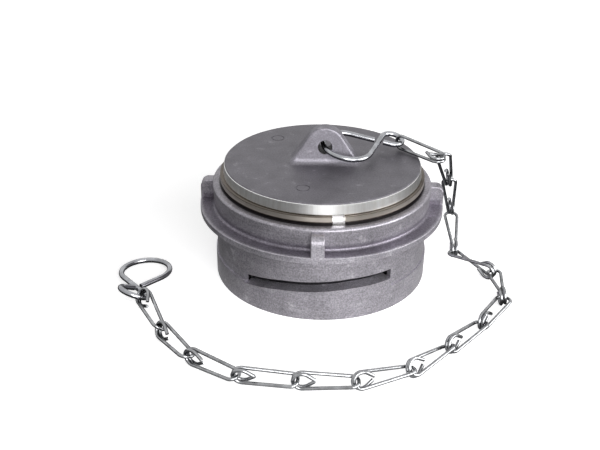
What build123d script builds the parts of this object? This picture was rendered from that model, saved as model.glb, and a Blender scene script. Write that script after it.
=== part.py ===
from build123d import *
import os
from math import asin, cos, degrees, radians, sin, sqrt, tan

# Coupling cap of a symmetrical claw coupling, nominal size 100.
# A cast cap body carries a turning lock ring and hangs from its pipe on a knotted wire chain.
# Millimetres. The origin is the centre of the lock ring's lower face and +Z is up.
# The ear on top shows its face towards -Y, the front.

os.makedirs("parts", exist_ok=True)

# Lock ring
ring_height = 60.0
ring_skirt_radius = 65.3
ring_band_rise = 0.9
ring_band_height = 15.3
ring_neck_rise = 1.1
ring_top_rise = 2.0
ring_wall = 3.0
ring_lip_reach = 1.4
ring_lip_height = 8.0
ring_edge = 0.8
ring_shoulder = 1.6
flange_width = 9.7
flange_drop = 13.8
flange_thickness = 3.9
flange_fillet = 1.6
lug_count = 4
lug_width = 7.7
lug_drop = 2.0
lug_corner = 4.5
lug_edge = 0.7
lug_turn = -1.3

# Helical windows of the lock ring: angles from the front, heights of the ramp below each window
window_count = 2
window_height = 6.0
window_start = -43.0
window_knee = -20.0
window_level = 16.0
window_end = 39.0
ramp_start_height = 13.5
ramp_knee_height = 17.6
ramp_top_height = 20.4
ramp_foot = 8.4
ramp_reach = 4.2

# Cap body
body_rise = 12.0
disc_inset = 0.8
disc_edge = 0.8
band_inset = 0.1
running_gap = 0.3
collar_height = 8.0
collar_gap = 0.5
barrel_gap = 8.3
barrel_wall = 9.0
seal_plane = 14.0
cavity_draft = 2.5
cavity_corner = 6.0
top_thickness = 10.0
claw_count = 2
claw_half_angle = 38.0
claw_thickness = 3.5
claw_bottom = 1.6
claw_gap = 0.3
nose_height = 6.0
nose_gap = 0.5

# Ear on the cap body
ear_centre = 1.3
ear_hole_height = 10.6
ear_hole_radius = 4.2
ear_head_radius = 11.8
ear_base_width = 44.0
ear_base_thickness = 12.5
ear_head_thickness = 7.5
ear_edge = 1.2
ear_foot = 4.0
ear_root = 1.0

mark_places = ((-29.1, 33.5), (-10.9, -39.7))
mark_radius = 4.2
mark_width = 0.6
mark_depth = 0.3

# Snap ring and seal
snap_proud = 1.8
snap_lift = 1.8
snap_width = 3.4
snap_thickness = 3.4
snap_gap = 7.3
snap_gap_angle = 9.0
snap_play = 0.15
seal_land = 1.8
seal_width = 4.6
seal_depth = 3.0
seal_proud = 0.6
seal_edge = 0.5

# Chain links: a wire bent into a narrow bight at one end and a knotted eye at the other
wire = 2.0
link_inside = 32.0
eye_width = 9.5
eye_bend = 4.6
bight_width = 8.8
bight_bend = 3.3
pair_spacing = 2.12
tail_start = 6.4
tail_length = 6.0
tail_angle = 35.0
seat_gap = 0.5

# S-hooks in the ear and on the free end
hook_wire = 3.3
hook_loop_radius = 14.85
hook_loop_length = 38.0
hook_end_gap = 2.8
ear_hook_offset = (13.5, 2.6, -2.0)
ear_hook_azimuth = 31.0
ear_hook_slope = -3.2
ear_hook_roll = 12.0
ear_hook_eye_radius = 6.35
ear_hook_reach = 9.9
ear_hook_twist = 0.0
ear_hook_pull = -75.0
end_hook_offset = (-4.8, 36.61, -7.39)
end_hook_azimuth = -91.6
end_hook_slope = 4.27
end_hook_roll = 2.0
end_hook_eye_radius = 8.0
end_hook_reach = 13.0
end_hook_twist = -28.8

# Route of the chain from the ear hook to the end hook: azimuth, slope and roll of each link
link_route = (
    (-37, -5.4, 0),
    (66, -52.6, -30),
    (69, -61.4, 0),
    (-90, -25.3, 0),
    (-44, -2.9, 0),
    (-89, -0.1, 6),
    (-124, -0.4, 4),
    (-133, 0.1, 16),
    (-137, -0.2, 30),
    (-160, -0.9, 15),
    (-181, -0.6, 0),
    (-187, 0.1, -12),
    (-212, 0.4, 0),
    (-232, 0.1, 18),
    (-241.3, 7.8, 40.6),
)
draped_links = 3


def sector(inner, outer, start, end, height):
    """Face between two radii and two angles from the front, at a height."""
    with BuildSketch(Plane.XY.offset(height)) as area:
        with BuildLine():
            near = CenterArc((0, 0), inner, start - 90, end - start)
            far = CenterArc((0, 0), outer, start - 90, end - start)
            Line(near @ 0, far @ 0)
            Line(near @ 1, far @ 1)
        make_face()
    return area.sketch


def ramp_prism(inner, outer, start, end, low, high, height):
    """Block over a helical ramp that climbs from low to high between two angles."""
    edges = []
    for radius in (inner, outer):
        if high > low:
            pitch = (high - low) * 360 / (end - start)
            edge = Edge.make_helix(pitch, high - low, radius, center=(0, 0, low))
        else:
            edge = Edge.make_circle(radius, Plane.XY.offset(low), 0, end - start)
        edges.append(edge.rotate(Axis.Z, start - 90))
    foot = Face.make_surface_from_curves(edges[0], edges[1])
    return Solid.extrude(foot, Vector(0, 0, height))


# Lock ring: turned shape with flange and inner lip
ring_band_radius = ring_skirt_radius + ring_band_rise
ring_neck_radius = ring_skirt_radius + ring_neck_rise
ring_top_radius = ring_skirt_radius + ring_top_rise
ring_inner_radius = ring_skirt_radius - ring_wall
ring_bore_radius = ring_inner_radius - ring_lip_reach
flange_radius = ring_skirt_radius + flange_width
flange_top = ring_height - flange_drop
flange_bottom = flange_top - flange_thickness
lug_top = ring_height - lug_drop
lip_bottom = ring_height - ring_lip_height
lug_reach = sqrt(flange_radius**2 - (lug_width / 2) ** 2)
ramp_inner_radius = ring_inner_radius - ramp_reach
window_stretches = (
    (window_start, window_knee, ramp_start_height, ramp_knee_height),
    (window_knee, window_level, ramp_knee_height, ramp_top_height),
    (window_level, window_end, ramp_top_height, ramp_top_height),
)
# Spanner lug, standing on the flange against the neck
with BuildPart() as lug:
    with BuildSketch(Plane.XZ) as lug_side:
        with BuildLine():
            Polyline(
                (ring_skirt_radius, flange_bottom),
                (lug_reach, flange_bottom),
                (lug_reach, lug_top),
                (ring_skirt_radius, lug_top),
                close=True,
            )
        make_face()
        fillet(lug_side.vertices().group_by(Axis.X)[-1].sort_by(Axis.Y)[-1], lug_corner)
    extrude(amount=lug_width / 2, both=True)
    lug_sides = lug.faces().sort_by(Axis.Y)
    fillet(lug_sides[0].edges() + lug_sides[-1].edges(), lug_edge)

with BuildPart() as lock_ring:
    with BuildSketch(Plane.XZ) as ring_section:
        with BuildLine():
            Polyline(
                (ring_inner_radius, 0),
                (ring_band_radius, 0),
                (ring_band_radius, ring_band_height),
                (ring_skirt_radius, ring_band_height),
                (ring_skirt_radius, flange_bottom),
                (flange_radius, flange_bottom),
                (flange_radius, flange_top),
                (ring_neck_radius, flange_top),
                (ring_top_radius, ring_height),
                (ring_bore_radius, ring_height),
                (ring_bore_radius, lip_bottom),
                (ring_inner_radius, lip_bottom),
                close=True,
            )
        make_face()
        corners = ring_section.vertices()
        fillet(
            corners.filter_by_position(Axis.Y, flange_bottom - 1, flange_top + 1).filter_by_position(
                Axis.X, 0, ring_top_radius
            ),
            flange_fillet,
        )
        corners = ring_section.vertices()
        chamfer(corners.filter_by_position(Axis.X, flange_radius - 0.1, flange_radius + 0.1), ring_edge / 2)
        corners = ring_section.vertices()
        fillet(corners.filter_by_position(Axis.X, ring_top_radius - 0.1, ring_top_radius + 0.1), ring_shoulder)
    revolve(axis=Axis.Z)
    for index in range(lug_count):
        add(lug.part.rotate(Axis.Z, lug_turn - 90 + index * 360 / lug_count))
    # Each window: thickened wall outside and ramp inside, both cut down to the helix
    for index in range(window_count):
        turn = index * 360 / window_count
        for stretch_start, stretch_end, low, high in window_stretches:
            start = stretch_start + turn
            end = stretch_end + turn
            outside = sector(ring_skirt_radius - 1, ring_band_radius, start, end, ramp_foot)
            extrude(outside, amount=high - ramp_foot)
            inside = sector(ramp_inner_radius, ring_inner_radius + 1, start, end, ramp_foot)
            extrude(inside, amount=high - ramp_foot)
        for stretch_start, stretch_end, low, high in window_stretches:
            start = stretch_start + turn
            end = stretch_end + turn
            cutter = ramp_prism(
                ramp_inner_radius - 1, ring_band_radius + 1, start, end, low, high, window_height
            )
            add(cutter, mode=Mode.SUBTRACT)
lock_ring.part.label = "lock_ring"

# Ear: drafted plate with a rounded head, crossed by the hole for the hook
body_top = ring_height + body_rise
with BuildPart() as ear:
    with BuildSketch(Plane.XZ) as ear_outline:
        with BuildLine():
            CenterArc((ear_centre, body_top + ear_hole_height), ear_head_radius, 0, 360)
            Line(
                (ear_centre - ear_base_width / 2, body_top - ear_root),
                (ear_centre + ear_base_width / 2, body_top - ear_root),
            )
        make_hull()
    extrude(amount=ear_base_thickness, both=True)
    ear_top = body_top + ear_hole_height + ear_head_radius
    with BuildSketch(Plane.YZ) as ear_side:
        with BuildLine():
            Polyline(
                (-ear_base_thickness / 2, body_top - ear_root),
                (ear_base_thickness / 2, body_top - ear_root),
                (ear_head_thickness / 2, ear_top),
                (-ear_head_thickness / 2, ear_top),
                close=True,
            )
        make_face()
    extrude(amount=2 * ear_base_width, both=True, mode=Mode.INTERSECT)
    fillet(ear.edges().filter_by_position(Axis.Z, body_top, ear_top + 1), ear_edge)

# Cap body: hollow turned shape, open below
hub_radius = ring_bore_radius - running_gap
disc_radius = hub_radius - disc_inset
band_radius = hub_radius - band_inset
barrel_radius = ring_inner_radius - barrel_gap
cavity_radius = barrel_radius - barrel_wall
collar_top = lip_bottom - running_gap
collar_bottom = collar_top - collar_height
collar_radius = ring_inner_radius - collar_gap
snap_seat = ring_height + snap_lift
snap_radius = hub_radius + snap_proud
snap_groove_radius = snap_radius - snap_width - snap_play
snap_groove_top = snap_seat + snap_thickness + snap_play
claw_outer_radius = barrel_radius + claw_thickness
nose_radius = ring_inner_radius - nose_gap
cavity_top = body_top - top_thickness
seal_inner_radius = cavity_radius + seal_land

with BuildPart() as cap_body:
    with BuildSketch(Plane.XZ) as body_section:
        with BuildLine():
            Polyline(
                (0, cavity_top),
                (0, body_top),
                (disc_radius, body_top),
                (band_radius, snap_groove_top),
                (snap_groove_radius, snap_groove_top),
                (snap_groove_radius, snap_seat),
                (hub_radius, snap_seat),
                (hub_radius, collar_top),
                (collar_radius, collar_top),
                (collar_radius, collar_bottom),
                (barrel_radius, collar_bottom),
                (barrel_radius, seal_plane),
                (cavity_radius, seal_plane),
                (cavity_radius - cavity_draft, cavity_top),
                close=True,
            )
        make_face()
        corners = body_section.vertices()
        chamfer(corners.group_by(Axis.Y)[-1].sort_by(Axis.X)[-1], disc_edge)
        corners = body_section.vertices().filter_by_position(Axis.X, 1, cavity_radius)
        fillet(corners.group_by(Axis.Y)[-1].sort_by(Axis.X)[-1], cavity_corner)
    revolve(axis=Axis.Z)
    add(ear.part)
    with BuildSketch(Plane.XZ.offset(-2 * ear_base_thickness)):
        with Locations((ear_centre, body_top + ear_hole_height)):
            Circle(ear_hole_radius)
    extrude(amount=4 * ear_base_thickness, mode=Mode.SUBTRACT)
    ear_seam = cap_body.edges().filter_by_position(Axis.Z, body_top - 0.01, body_top + 0.01)
    ear_seam = ear_seam.filter_by(lambda edge: edge.center().Y**2 < ear_base_thickness**2)
    fillet(ear_seam.filter_by(lambda edge: edge.length < ear_base_width + 1), ear_foot)
    # Round marks left by the mould's pins
    with BuildSketch(Plane.XY.offset(body_top)):
        with Locations(*mark_places):
            Circle(mark_radius)
            Circle(mark_radius - mark_width, mode=Mode.SUBTRACT)
    extrude(amount=-mark_depth, mode=Mode.SUBTRACT)
    # Claws with outward noses reach down beside the seal face
    for index in range(claw_count):
        middle = 90 + index * 360 / claw_count
        start = middle - claw_half_angle
        end = middle + claw_half_angle
        extrude(
            sector(barrel_radius - 1, claw_outer_radius, start, end, seal_plane),
            amount=collar_bottom - seal_plane,
        )
        extrude(
            sector(barrel_radius + claw_gap, claw_outer_radius, start, end, claw_bottom),
            amount=seal_plane - claw_bottom,
        )
        extrude(
            sector(claw_outer_radius - 1, nose_radius, start, end, claw_bottom),
            amount=nose_height,
        )
    # Groove that holds the seal
    with BuildSketch(Plane.XY.offset(seal_plane)):
        Circle(seal_inner_radius + seal_width)
        Circle(seal_inner_radius, mode=Mode.SUBTRACT)
    extrude(amount=seal_depth, mode=Mode.SUBTRACT)
cap_body.part.label = "cap_body"

# Snap ring with its gap
with BuildPart() as snap_ring:
    half_gap = degrees(asin(snap_gap / 2 / snap_radius))
    extrude(
        sector(
            snap_radius - snap_width,
            snap_radius,
            snap_gap_angle + half_gap,
            snap_gap_angle - half_gap + 360,
            snap_seat,
        ),
        amount=snap_thickness,
    )
snap_ring.part.label = "snap_ring"

# Seal: flat rubber ring, standing a little out of its groove
with BuildPart() as seal:
    with BuildSketch(Plane.XZ):
        with BuildLine():
            Polyline(
                (seal_inner_radius, seal_plane + seal_depth),
                (seal_inner_radius, seal_plane),
                (seal_inner_radius + seal_edge, seal_plane - seal_proud),
                (seal_inner_radius + seal_width - seal_edge, seal_plane - seal_proud),
                (seal_inner_radius + seal_width, seal_plane),
                (seal_inner_radius + seal_width, seal_plane + seal_depth),
                close=True,
            )
        make_face()
    revolve(axis=Axis.Z)
seal.part.label = "seal"


def direction(azimuth, slope):
    """Unit vector at an azimuth from +X and a slope above the floor."""
    level = cos(radians(slope))
    return Vector(level * cos(radians(azimuth)), level * sin(radians(azimuth)), sin(radians(slope)))


def across(reference, travel, roll=0.0):
    """Unit vector square to travel, as near as it can be to reference, then rolled about travel."""
    level = (reference - travel * reference.dot(travel)).normalized()
    return level.rotate(Axis((0, 0, 0), travel), roll)


# S-hook: a large loop and a small eye, bent from one wire in opposite senses
hook_neck = asin(hook_loop_radius / (hook_loop_length - hook_loop_radius))
hook_cross = hook_loop_length - hook_loop_radius


def hook_plane(centre, azimuth, slope, roll):
    """Plane of the large loop: origin at its middle, x towards the small eye."""
    axis = direction(azimuth, slope)
    return Plane(centre, x_dir=axis, z_dir=across(Vector(0, 0, 1), axis, roll))


def eye_plane(plane, eye_radius, reach, twist):
    """Plane of the small eye: origin at its middle, x along the strand from the crossing."""
    strand = plane.x_dir * cos(hook_neck) + plane.y_dir * sin(hook_neck)
    normal = plane.z_dir.rotate(Axis((0, 0, 0), strand), twist)
    along = strand * sqrt(reach**2 - eye_radius**2)
    cross = plane.from_local_coords(Vector(hook_cross, 0, 0))
    return Plane(cross + along + strand.cross(normal) * eye_radius, x_dir=strand, z_dir=normal)


def make_hook(plane, eye_radius, reach, twist, label):
    """Closed S-hook: large loop on a plane, small eye turned about the crossing strand."""
    slant = Vector(-cos(hook_neck), sin(hook_neck), 0)
    side = hook_loop_radius / tan(hook_neck)
    cross = Vector(hook_cross, 0, 0)
    shank = sqrt(reach**2 - eye_radius**2)
    small_plane = eye_plane(plane, eye_radius, reach, twist)
    with BuildLine(plane) as loop:
        start = plane.from_local_coords(cross + slant * hook_end_gap)
        shoulder = plane.from_local_coords(cross + slant * side)
        opening = Line(start, shoulder)
        bow = JernArc(opening @ 1, opening % 1, hook_loop_radius, 180 + 2 * degrees(hook_neck))
        Line(bow @ 1, bow @ 1 + (bow % 1) * (side + shank))
    with BuildLine(small_plane) as small_eye:
        turn = 180 + 2 * degrees(asin(eye_radius / reach))
        bend = JernArc((0, eye_radius), (1, 0), eye_radius, -turn)
        Line(bend @ 1, bend @ 1 + (bend % 1) * (shank - hook_end_gap))
    with BuildPart() as hook:
        with BuildLine() as route:
            add(loop.line)
            add(small_eye.line)
        with BuildSketch(Plane(start, z_dir=shoulder - start)):
            Circle(hook_wire / 2)
        sweep(path=route.wire())
    hook.part.label = label
    return hook.part


# One chain link, lying along +X with its bight's wire at the origin
link_length = link_inside + wire
with BuildPart() as link:
    half_eye = eye_width / 2
    half_pair = pair_spacing / 2
    tail_turn = radians(tail_angle)
    tail_x = link_length - tail_start - tail_length * cos(tail_turn)
    tail_y = half_eye - tail_length * sin(tail_turn)
    with BuildLine() as link_route_line:
        FilletPolyline(
            (tail_x, -tail_y, half_pair),
            (link_length - tail_start, -half_eye, half_pair),
            (link_length, -half_eye, half_pair),
            (link_length, half_eye, half_pair),
            (0, 0, bight_width / 2),
            (0, 0, -bight_width / 2),
            (link_length, -half_eye, -half_pair),
            (link_length, half_eye, -half_pair),
            (link_length - tail_start, half_eye, -half_pair),
            (tail_x, tail_y, -half_pair),
            radius=[eye_bend] * 3 + [bight_bend] * 2 + [eye_bend] * 3,
        )
    link_wire = link_route_line.wire()
    with BuildSketch(Plane(link_wire @ 0, z_dir=link_wire % 0)):
        Circle(wire / 2)
    sweep(path=link_wire)

# The chain is laid out link by link. A contact is the middle of the wire that the next piece hooks on to.
ear_hook_centre = Vector(ear_centre, 0, body_top + ear_hole_height) + Vector(*ear_hook_offset)
ear_hook_plane = hook_plane(ear_hook_centre, ear_hook_azimuth, ear_hook_slope, ear_hook_roll)
ear_eye_plane = eye_plane(ear_hook_plane, ear_hook_eye_radius, ear_hook_reach, ear_hook_twist)
pull = radians(ear_hook_pull)
pulled = ear_eye_plane.x_dir * cos(pull) + ear_eye_plane.y_dir * sin(pull)
contact = ear_eye_plane.origin + pulled * ear_hook_eye_radius
contact_wire = ear_eye_plane.z_dir.cross(pulled)
contact_reach = hook_wire / 2
contact_pair = Vector(0, 0, 0)
upright = None
contacts = []
link_planes = []
for index, (azimuth, slope, roll) in enumerate(link_route):
    travel = direction(azimuth, slope)
    if index == 0:
        upright = across(ear_eye_plane.z_dir.cross(travel), travel, roll)
    elif index < draped_links:
        upright = across(upright, travel, roll)
    else:
        upright = across(Vector(0, 0, 1), travel, roll)
    breadth = travel.cross(upright)
    seat = contact_wire.cross(breadth).normalized()
    if seat.dot(travel) < 0:
        seat = seat * -1
    reach = contact_reach + wire / 2 + seat_gap + abs(contact_pair.dot(seat))
    bight = contact - seat * reach
    contacts.append(contact)
    link_planes.append(Plane(bight, x_dir=travel, z_dir=breadth))
    contact = bight + travel * link_length
    contact_wire = upright
    contact_reach = wire / 2
    contact_pair = breadth * half_pair

ear_hook_part = make_hook(
    ear_hook_plane, ear_hook_eye_radius, ear_hook_reach, ear_hook_twist, "ear_hook"
)
end_hook_centre = contact + Vector(*end_hook_offset)
end_hook_plane = hook_plane(end_hook_centre, end_hook_azimuth, end_hook_slope, end_hook_roll)
end_hook_part = make_hook(
    end_hook_plane, end_hook_eye_radius, end_hook_reach, end_hook_twist, "end_hook"
)

export_step(cap_body.part, "parts/cap_body.step")
export_step(lock_ring.part, "parts/lock_ring.step")
export_step(snap_ring.part, "parts/snap_ring.step")
export_step(seal.part, "parts/seal.step")
export_step(ear_hook_part, "parts/ear_hook.step")
export_step(end_hook_part, "parts/end_hook.step")
for index, plane in enumerate(link_planes):
    placed_link = link.part.moved(plane.location)
    placed_link.label = f"chain_link_{index + 1:02d}"
    export_step(placed_link, f"parts/chain_link_{index + 1:02d}.step")
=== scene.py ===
from collections import namedtuple
from math import cos, sin

import bpy
from mathutils import Matrix, Vector


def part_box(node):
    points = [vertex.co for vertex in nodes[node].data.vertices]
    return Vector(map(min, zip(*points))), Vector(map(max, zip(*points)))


# Looks of the coupling cap, in metres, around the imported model.
# The floor is z = 0 and the ear's face shows towards -Y, where the camera stands.
# The scene adds no shapes to the part, it only gives the solids their materials.

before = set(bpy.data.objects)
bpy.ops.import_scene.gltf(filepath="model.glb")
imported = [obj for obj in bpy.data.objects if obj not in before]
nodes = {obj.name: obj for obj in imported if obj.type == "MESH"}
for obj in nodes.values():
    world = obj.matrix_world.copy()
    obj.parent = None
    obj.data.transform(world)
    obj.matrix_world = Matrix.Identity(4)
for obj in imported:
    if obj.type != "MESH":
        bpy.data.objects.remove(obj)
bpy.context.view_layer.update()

# Photograph and camera
IMAGE_WIDTH = 600
IMAGE_HEIGHT = 450
FOCAL_PIXELS = 874.06
SENSOR_MM = 36.0
CLIP_START = 0.01
ELEVATION = 0.478505
ROLL = 0.02252
DISTANCE = 0.550
AIM = Vector((0, 0, 0.035))
AIM_PIXEL = (321.475, 213.967)

# World: how bright it is seen or mirrored, and how bright it lights
WORLD_SHOWN = 1.0
WORLD_SOFT = 0.18

# Lamps, all aimed at one point: name, place, width and watts
LAMP_TARGET = Vector((0, 0, 0.04))
LAMPS = (
    ("key", (0.28, -0.75, 0.34), 0.6, 7.9),
    ("side", (0.8, -0.25, 0.2), 0.6, 7.8),
    ("top", (-0.2, 0.1, 0.9), 0.6, 0.3),
)

# Floor: the camera sees it lifted towards white, from the near lift to the far lift between two radii.
# Under the cap, within this share of the lock ring's radius, it isn't lifted.
FLOOR_SIZE = 8
FLOOR_TONE = 0.8
FLOOR_ROUGHNESS = 0.9
NEAR_LIFT = 0.68
FAR_LIFT = 0.95
NEAR_RADIUS = 0.12
FAR_RADIUS = 0.5
COVERED_SHARE = 0.85

# Floor in a mirror: a white strip round x = MIRROR_MIDDLE that fades to a dimmer side
MIRROR_MIDDLE = 0.01
MIRROR_INSIDE = 0.03
MIRROR_OUTSIDE = 0.1
MIRROR_WHITE = 1.0
MIRROR_SIDE = 0.12

# Skins: base colour and gloss, and a mottle, which is how far the colour changes over mottle_size
Skin = namedtuple("Skin", "name color roughness metallic mottle mottle_size")
CAST = Skin("cast_aluminium", (0.205, 0.196, 0.222), 0.48, 0.7, 0.14, 0.012)
FORGED = Skin("forged_aluminium", (0.285, 0.272, 0.3), 0.42, 0.7, 0.14, 0.012)
SNAP_BRASS = Skin("snap_ring_brass", (0.47, 0.43, 0.385), 0.32, 0.9, 0.1, 0.01)
CHAIN_ZINC = Skin("zinc_chain", (0.31, 0.315, 0.325), 0.2, 1.0, 0.3, 0.004)
HOOK_ZINC = Skin("zinc_hook", (0.36, 0.365, 0.385), 0.2, 1.0, 0.25, 0.006)
SEAL_RUBBER = Skin("seal_rubber", (0.02, 0.02, 0.02), 0.7, 0.0, 0.1, 0.01)

# The cap body's turned part, which is fully metallic
TURNED_TONE = (0.96, 0.95, 0.93)
TURNED_ROUGHNESS = 0.28

# Places on the part
snap_low, snap_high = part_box("snap_ring")
ring_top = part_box("lock_ring")[1].z
ring_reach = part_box("lock_ring")[1].x
DISC_TOP = 0.072
FLANGE_TOP = 0.0462
COLLAR_TOP = 0.05
HOLE_X = 0.0013
HOLE_Z = 0.0826
HOLE_RADIUS = 0.0042
GAP_X = 0.0098
GAP_HALF_WIDTH = 0.0034

# The turned part reaches from the hub to the disc's edge, and in to the snap ring's groove
DISC_EDGE = 0.0006
HUB_DEPTH = 0.001
GROOVE_DEPTH = 0.0045
BAND_INSET = 0.0025
turned_top = DISC_TOP - DISC_EDGE
turned_bottom = ring_top - HUB_DEPTH
turned_inside = snap_high.x - GROOVE_DEPTH
band_inside = snap_high.x - BAND_INSET

# Painted shade: the disc is darker than the ear, and the shade fades out at the ear's foot
DISC_PAINTED_SHADE = (0.72, 0.72, 0.71)
DISC_SHADE_RISE = 0.002

# Painted shade on the flange: it fades out just under its top face and up the neck
FLANGE_SHADE_TONE = (0.55, 0.53, 0.57)
SHADE_UNDER = 0.0006
SHADE_FACE = 0.0002
SHADE_CORNER = 0.0018
SHADE_CLIMB = 0.0045

# Painted shade in the ear's hole, on the hub and on the inner part of the lock ring's top face
PAINTED_SHADE_TONE = (0.1, 0.09, 0.09)
SHADE_START = 0.0001
SHADE_EDGE = 0.0003
SHADE_REACH = 0.0012

# Painted shade: dark lines over the snap ring on the band, and along the snap ring's own top and foot
SHADE_LINE_TONE = (0.22, 0.2, 0.18)
LINE_HALF_WIDTH = 0.0002
LINE_FADE = 0.0005

# Wire: painted shade on its lower side, between two values of the upward part of the normal
WIRE_UNDERSIDE_SHADE = (0.3, 0.31, 0.33)
WIRE_LOW = -0.5
WIRE_HIGH = 0.35

# Rubbed places: size, tone and noise levels of the specks; painted highlight: width and tone along the
# flange's rim
WEAR_SIZE = 0.006
WEAR_TONE = (1.45, 1.45, 1.42)
WEAR_LOW = 0.62
WEAR_HIGH = 0.74
RIM_WIDTH = 0.0012
RIM_HIGHLIGHT_TONE = (1.1, 1.1, 1.1)

# Painted light on the ramps: least upward part of the normal, height up to which they reach, and tone
RAMP_LEVEL = 0.7
RAMP_HIGH = 0.03
RAMP_PAINTED_LIGHT = (1.35, 1.35, 1.37)

# Cast grain: width of a pit, how coarse its second noise is, depth of the relief, contrast of the specks
PIT_SIZE = 0.0009
COARSE_SHARE = 0.3
CAST_DEPTH = 0.00006
CAST_SPECKLE = 0.18
RING_DEPTH = 0.00012
RING_SPECKLE = 0.3

# Streaks across the turned band, and lines round the lock ring
BAND_STREAK = 0.002
BAND_SQUEEZE = (1, 1, 0.04)
BAND_CONTRAST = 0.1
RING_STREAK = 0.0014
RING_SQUEEZE = (0.05, 0.05, 1)
RING_CONTRAST = 0.1

WHITE = (1, 1, 1)


def grey(level):
    return (level, level, level)


def spread(color, amount):
    """Darker and lighter tone of a colour."""
    return [c * (1 - amount) for c in color], [min(1.0, c * (1 + amount)) for c in color]


def set_input(node, name, value):
    node.inputs[name].default_value = value


def new_material(name):
    material = bpy.data.materials.new(name)
    material.use_nodes = True
    tree = material.node_tree
    shader = next(n for n in tree.nodes if n.type == "BSDF_PRINCIPLED")
    return material, tree, shader


def math_node(tree, operation, first, second=None):
    """Result of a math node, whose inputs are sockets or numbers."""
    node = tree.nodes.new("ShaderNodeMath")
    node.operation = operation
    for socket, value in zip(node.inputs, (first, second)):
        if value is None:
            continue
        if isinstance(value, (int, float)):
            socket.default_value = value
        else:
            tree.links.new(value, socket)
    return node.outputs[0]


def object_axes(tree):
    coords = tree.nodes.new("ShaderNodeTexCoord")
    split = tree.nodes.new("ShaderNodeSeparateXYZ")
    tree.links.new(coords.outputs["Object"], split.inputs[0])
    return split.outputs


def upward(tree):
    """Upward part of the surface's normal."""
    geometry = tree.nodes.new("ShaderNodeNewGeometry")
    split = tree.nodes.new("ShaderNodeSeparateXYZ")
    tree.links.new(geometry.outputs["Normal"], split.inputs[0])
    return split.outputs[2]


def radius_node(tree, x, y):
    across = math_node(tree, "MULTIPLY", x, x)
    along = math_node(tree, "MULTIPLY", y, y)
    return math_node(tree, "SQRT", math_node(tree, "ADD", across, along))


def distance_node(tree, value, place):
    return math_node(tree, "ABSOLUTE", math_node(tree, "SUBTRACT", value, place))


def soft_step(tree, value, low, high):
    """0 below low, 1 above high and a smooth rise between them."""
    step = tree.nodes.new("ShaderNodeMapRange")
    step.interpolation_type = "SMOOTHSTEP"
    set_input(step, "From Min", low)
    set_input(step, "From Max", high)
    tree.links.new(value, step.inputs["Value"])
    return step.outputs["Result"]


def noise_node(tree, scale, detail=4.0, squeeze=(1, 1, 1)):
    """Noise over the object's own coordinates, stretched where squeeze is under 1."""
    coords = tree.nodes.new("ShaderNodeTexCoord")
    stretch = tree.nodes.new("ShaderNodeMapping")
    set_input(stretch, "Scale", squeeze)
    noise = tree.nodes.new("ShaderNodeTexNoise")
    set_input(noise, "Scale", scale)
    set_input(noise, "Detail", detail)
    tree.links.new(coords.outputs["Object"], stretch.inputs["Vector"])
    tree.links.new(stretch.outputs["Vector"], noise.inputs["Vector"])
    return noise.outputs["Fac"]


def tone_node(tree, value, dark, light, low=0.3, high=0.7):
    """Colour between dark and light as value goes from low to high."""
    ramp = tree.nodes.new("ShaderNodeValToRGB")
    ramp.color_ramp.elements[0].position = low
    ramp.color_ramp.elements[1].position = high
    ramp.color_ramp.elements[0].color = (*dark, 1)
    ramp.color_ramp.elements[1].color = (*light, 1)
    tree.links.new(value, ramp.inputs["Fac"])
    return ramp.outputs["Color"]


def multiply_color(tree, first, second):
    mix = tree.nodes.new("ShaderNodeMix")
    mix.data_type = "RGBA"
    mix.blend_type = "MULTIPLY"
    set_input(mix, "Factor", 1.0)
    tree.links.new(first, mix.inputs["A"])
    tree.links.new(second, mix.inputs["B"])
    return mix.outputs["Result"]


def base_color(shader):
    return shader.inputs["Base Color"].links[0].from_socket


def tint(tree, shader, tone):
    """Multiplies the shader's colour by a tone that changes over the surface."""
    tree.links.new(multiply_color(tree, base_color(shader), tone), shader.inputs["Base Color"])


def paint_light(tree, shader, keep, tone):
    """Paints light or shade: multiplies the colour by tone where keep is 0 and leaves it where keep is
    1.
    """
    tint(tree, shader, tone_node(tree, keep, tone, WHITE, 0.0, 1.0))


def speckle(tree, shader, noise, contrast):
    """Makes the colour darker and lighter by the contrast, as the noise goes."""
    tint(tree, shader, tone_node(tree, noise, grey(1 - contrast), grey(1 + contrast)))


def add_wear(tree, shader):
    """Small places where the skin is rubbed bright."""
    noise = noise_node(tree, 1 / WEAR_SIZE, detail=5.0)
    tint(tree, shader, tone_node(tree, noise, WHITE, WEAR_TONE, WEAR_LOW, WEAR_HIGH))


def add_grain(tree, shader, depth, contrast):
    """Blasted cast skin: fine pits, and specks that are lighter and darker than the rest."""
    fine = noise_node(tree, 1 / PIT_SIZE, detail=3.0)
    coarse = noise_node(tree, COARSE_SHARE / PIT_SIZE, detail=2.0)
    bump = tree.nodes.new("ShaderNodeBump")
    set_input(bump, "Strength", 1.0)
    set_input(bump, "Distance", depth)
    tree.links.new(math_node(tree, "ADD", fine, coarse), bump.inputs["Height"])
    tree.links.new(bump.outputs["Normal"], shader.inputs["Normal"])
    speckle(tree, shader, noise_node(tree, 1 / PIT_SIZE, detail=2.0), contrast)
    return bump


def skin_material(skin):
    """Material of one skin, with its slow change of tone."""
    material, tree, shader = new_material(skin.name)
    set_input(shader, "Metallic", skin.metallic)
    set_input(shader, "Roughness", skin.roughness)
    noise = noise_node(tree, 1 / skin.mottle_size)
    tone = tone_node(tree, noise, *spread(skin.color, skin.mottle))
    tree.links.new(tone, shader.inputs["Base Color"])
    return material, tree, shader


def turned_mask(tree, radius, z):
    """1 where the cap body is turned on a lathe, 0 on its cast skin."""
    outside = math_node(tree, "GREATER_THAN", radius, turned_inside)
    above = math_node(tree, "GREATER_THAN", z, turned_bottom)
    below = math_node(tree, "LESS_THAN", z, turned_top)
    return math_node(tree, "MULTIPLY", outside, math_node(tree, "MULTIPLY", above, below))


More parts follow.
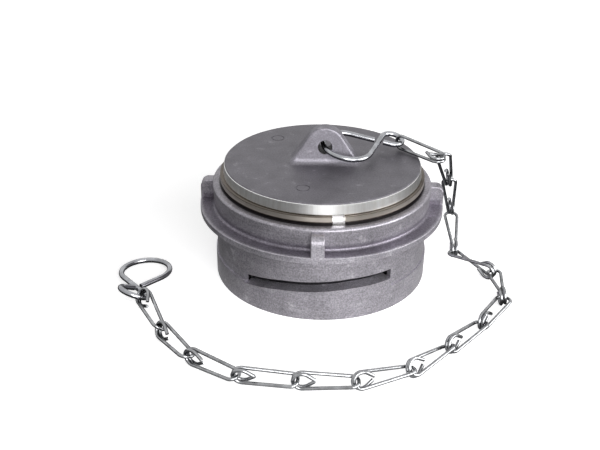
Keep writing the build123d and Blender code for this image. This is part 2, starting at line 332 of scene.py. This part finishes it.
def make_turned(tree, shader, bump, mask):
    """Bright, smooth metal with streaks and without pits where mask is 1."""
    mix = tree.nodes.new("ShaderNodeMix")
    mix.data_type = "RGBA"
    tree.links.new(mask, mix.inputs["Factor"])
    tree.links.new(base_color(shader), mix.inputs["A"])
    streaks = noise_node(tree, 1 / BAND_STREAK, detail=2.0, squeeze=BAND_SQUEEZE)
    tree.links.new(tone_node(tree, streaks, *spread(TURNED_TONE, BAND_CONTRAST)), mix.inputs["B"])
    tree.links.new(mix.outputs["Result"], shader.inputs["Base Color"])
    cast = math_node(tree, "SUBTRACT", 1.0, mask)
    rough = math_node(tree, "MULTIPLY", cast, CAST.roughness - TURNED_ROUGHNESS)
    tree.links.new(math_node(tree, "ADD", rough, TURNED_ROUGHNESS), shader.inputs["Roughness"])
    shine = math_node(tree, "MULTIPLY", mask, 1 - CAST.metallic)
    tree.links.new(math_node(tree, "ADD", shine, CAST.metallic), shader.inputs["Metallic"])
    tree.links.new(cast, bump.inputs["Strength"])


def cap_metal():
    """Cast skin with the turned band round the disc."""
    material, tree, shader = skin_material(CAST)
    x, y, z = object_axes(tree)
    radius = radius_node(tree, x, y)
    # Painted shade: the disc is darker than the ear
    paint_light(tree, shader, soft_step(tree, z, DISC_TOP, DISC_TOP + DISC_SHADE_RISE), DISC_PAINTED_SHADE)
    # Painted shade in the ear's hole
    across = math_node(tree, "SUBTRACT", x, HOLE_X)
    rise = math_node(tree, "SUBTRACT", z, HOLE_Z)
    from_hole = radius_node(tree, across, rise)
    paint_light(tree, shader, soft_step(tree, from_hole, HOLE_RADIUS, HOLE_RADIUS + SHADE_EDGE), PAINTED_SHADE_TONE)
    add_wear(tree, shader)
    bump = add_grain(tree, shader, CAST_DEPTH, CAST_SPECKLE)
    make_turned(tree, shader, bump, turned_mask(tree, radius, z))
    # Painted shade on the hub below the snap ring, but not in the snap ring's gap
    above = soft_step(tree, z, snap_low.z, snap_low.z + SHADE_START)
    below = math_node(tree, "LESS_THAN", z, COLLAR_TOP)
    in_snap_gap = math_node(tree, "LESS_THAN", distance_node(tree, x, GAP_X), GAP_HALF_WIDTH)
    unshaded = math_node(tree, "MAXIMUM", math_node(tree, "MAXIMUM", above, below), in_snap_gap)
    paint_light(tree, shader, unshaded, PAINTED_SHADE_TONE)
    # Painted shade: a dark line on the band, just over the snap ring
    from_line = distance_node(tree, z, snap_high.z + LINE_HALF_WIDTH)
    beside = soft_step(tree, from_line, LINE_HALF_WIDTH, 2 * LINE_HALF_WIDTH)
    inside = math_node(tree, "LESS_THAN", radius, band_inside)
    paint_light(tree, shader, math_node(tree, "MAXIMUM", beside, inside), SHADE_LINE_TONE)
    return material


def ring_metal():
    """Blasted skin of the lock ring, with painted shade, painted light on the ramps, a painted highlight
    on the rim, and rubbed places.
    """
    material, tree, shader = skin_material(FORGED)
    x, y, z = object_axes(tree)
    radius = radius_node(tree, x, y)
    # Painted shade on the flange's top face and in the corner there, but not on the rim
    on_top = soft_step(tree, z, FLANGE_TOP - SHADE_UNDER, FLANGE_TOP - SHADE_FACE)
    below = math_node(tree, "SUBTRACT", 1.0, on_top)
    above = soft_step(tree, z, FLANGE_TOP + SHADE_CORNER, FLANGE_TOP + SHADE_CLIMB)
    outside = soft_step(tree, radius, ring_reach - 2 * RIM_WIDTH, ring_reach - RIM_WIDTH / 2)
    unshaded = math_node(tree, "MAXIMUM", math_node(tree, "MAXIMUM", below, above), outside)
    paint_light(tree, shader, unshaded, FLANGE_SHADE_TONE)
    # Painted light: the ramps below the windows are lighter where they face up
    steep = math_node(tree, "LESS_THAN", upward(tree), RAMP_LEVEL)
    high = math_node(tree, "GREATER_THAN", z, RAMP_HIGH)
    paint_light(tree, shader, math_node(tree, "MAXIMUM", steep, high), RAMP_PAINTED_LIGHT)
    # Faint lines round the ring, left by turning
    lines = noise_node(tree, 1 / RING_STREAK, detail=3.0, squeeze=RING_SQUEEZE)
    speckle(tree, shader, lines, RING_CONTRAST)
    # Painted shade on the inner part of the top face, under the snap ring
    lower = math_node(tree, "LESS_THAN", z, ring_top - SHADE_EDGE)
    outer = soft_step(tree, radius, snap_high.x + SHADE_START, snap_high.x + SHADE_REACH)
    paint_light(tree, shader, math_node(tree, "MAXIMUM", lower, outer), PAINTED_SHADE_TONE)
    # Painted highlight on the flange's rim and the lugs' outer faces
    rim = soft_step(tree, radius, ring_reach - RIM_WIDTH, ring_reach)
    tint(tree, shader, tone_node(tree, rim, WHITE, RIM_HIGHLIGHT_TONE, 0.0, 1.0))
    add_wear(tree, shader)
    add_grain(tree, shader, RING_DEPTH, RING_SPECKLE)
    return material


def snap_metal():
    """Dull yellowish metal with painted shade lines along its top and its foot."""
    material, tree, shader = skin_material(SNAP_BRASS)
    z = object_axes(tree)[2]
    # Painted shade along the snap ring's top and foot
    over_foot = soft_step(tree, z, snap_low.z + LINE_HALF_WIDTH, snap_low.z + LINE_FADE)
    at_top = soft_step(tree, z, snap_high.z - LINE_FADE, snap_high.z - LINE_HALF_WIDTH)
    paint_light(tree, shader, math_node(tree, "SUBTRACT", over_foot, at_top), SHADE_LINE_TONE)
    return material


def wire_metal(skin):
    """Bright zinc wire with painted shade on its lower side."""
    material, tree, shader = skin_material(skin)
    # Painted shade on the wire's lower side, by the upward part of the normal
    paint_light(tree, shader, soft_step(tree, upward(tree), WIRE_LOW, WIRE_HIGH), WIRE_UNDERSIDE_SHADE)
    return material


def rubber():
    return skin_material(SEAL_RUBBER)[0]


def white_floor():
    """Pale floor that the camera sees lifted towards white, and metal as a white strip."""
    material, tree, shader = new_material("floor_white")
    set_input(shader, "Base Color", (*grey(FLOOR_TONE), 1))
    set_input(shader, "Roughness", FLOOR_ROUGHNESS)
    set_input(shader, "Specular IOR Level", 0.0)
    set_input(shader, "Emission Color", (*WHITE, 1))
    path = tree.nodes.new("ShaderNodeLightPath")
    x, y = object_axes(tree)[:2]
    radius = radius_node(tree, x, y)
    open_floor = math_node(tree, "GREATER_THAN", radius, ring_reach * COVERED_SHARE)
    # The lift grows with the distance from the cap
    shown = math_node(tree, "MULTIPLY", path.outputs["Is Camera Ray"], open_floor)
    far = soft_step(tree, radius, NEAR_RADIUS, FAR_RADIUS)
    lift = math_node(tree, "ADD", math_node(tree, "MULTIPLY", far, FAR_LIFT - NEAR_LIFT), NEAR_LIFT)
    tree.links.new(math_node(tree, "MULTIPLY", shown, lift), shader.inputs["Emission Strength"])
    # Metal mirrors the strip before and behind the cap, and a dimmer floor beside it
    aside = distance_node(tree, x, MIRROR_MIDDLE)
    strip = tone_node(tree, aside, grey(MIRROR_WHITE), grey(MIRROR_SIDE), MIRROR_INSIDE, MIRROR_OUTSIDE)
    strip = multiply_color(tree, strip, tone_node(tree, open_floor, grey(0), WHITE, 0.0, 1.0))
    mirrored = tree.nodes.new("ShaderNodeEmission")
    tree.links.new(strip, mirrored.inputs["Color"])
    choose = tree.nodes.new("ShaderNodeMixShader")
    tree.links.new(path.outputs["Is Glossy Ray"], choose.inputs[0])
    tree.links.new(shader.outputs[0], choose.inputs[1])
    tree.links.new(mirrored.outputs[0], choose.inputs[2])
    output = next(n for n in tree.nodes if n.type == "OUTPUT_MATERIAL")
    tree.links.new(choose.outputs[0], output.inputs["Surface"])
    return material


def studio_world():
    """World that is white where it is seen or mirrored, and plain soft light otherwise."""
    world = bpy.data.worlds.new("studio")
    world.use_nodes = True
    tree = world.node_tree
    background = tree.nodes["Background"]
    set_input(background, "Color", (*WHITE, 1))
    path = tree.nodes.new("ShaderNodeLightPath")
    shown = math_node(tree, "MAXIMUM", path.outputs["Is Camera Ray"], path.outputs["Is Glossy Ray"])
    shown = math_node(tree, "MAXIMUM", shown, path.outputs["Is Transmission Ray"])
    level = math_node(tree, "MULTIPLY", shown, WORLD_SHOWN - WORLD_SOFT)
    tree.links.new(math_node(tree, "ADD", level, WORLD_SOFT), background.inputs["Strength"])
    return world


def add_lamp(name, place, width, watts):
    light = bpy.data.lights.new(name, "AREA")
    light.energy = watts
    light.size = width
    lamp = bpy.data.objects.new(name, light)
    bpy.context.scene.collection.objects.link(lamp)
    lamp.location = place
    lamp.rotation_euler = (LAMP_TARGET - Vector(place)).to_track_quat("-Z", "Y").to_euler()


def dress(node_name, material):
    """Gives a CAD node one material in all of its slots."""
    mesh = nodes[node_name].data
    if not mesh.materials:
        mesh.materials.append(material)
    for index in range(len(mesh.materials)):
        mesh.materials[index] = material


# Materials of the part
chain_zinc = wire_metal(CHAIN_ZINC)
hook_zinc = wire_metal(HOOK_ZINC)

dress("cap_body", cap_metal())
dress("lock_ring", ring_metal())
dress("snap_ring", snap_metal())
dress("seal", rubber())
dress("ear_hook", hook_zinc)
dress("end_hook", hook_zinc)
for name in nodes:
    if name.startswith("chain_link"):
        dress(name, chain_zinc)

# Floor, world and lamps
bpy.ops.mesh.primitive_plane_add(size=FLOOR_SIZE, location=(0, 0, 0))
floor = bpy.context.object
floor.name = "floor"
floor.data.materials.append(white_floor())

bpy.context.scene.world = studio_world()
for lamp_values in LAMPS:
    add_lamp(*lamp_values)

# Camera at the photograph's place
back = Vector((0, -cos(ELEVATION), sin(ELEVATION)))
camera_data = bpy.data.cameras.new("photo_camera")
camera = bpy.data.objects.new("photo_camera", camera_data)
bpy.context.scene.collection.objects.link(camera)
camera_data.sensor_fit = "HORIZONTAL"
camera_data.sensor_width = SENSOR_MM
camera_data.lens = FOCAL_PIXELS / IMAGE_WIDTH * SENSOR_MM
camera_data.clip_start = CLIP_START
turn = (-back).to_track_quat("-Z", "Y").to_matrix().to_4x4()
camera.matrix_world = Matrix.Translation(AIM + back * DISTANCE) @ turn @ Matrix.Rotation(ROLL, 4, "Z")
camera_data.shift_x = -(AIM_PIXEL[0] - IMAGE_WIDTH / 2) / IMAGE_WIDTH
camera_data.shift_y = (AIM_PIXEL[1] - IMAGE_HEIGHT / 2) / IMAGE_WIDTH
bpy.context.scene.camera = camera

bpy.context.scene.view_settings.view_transform = "Standard"
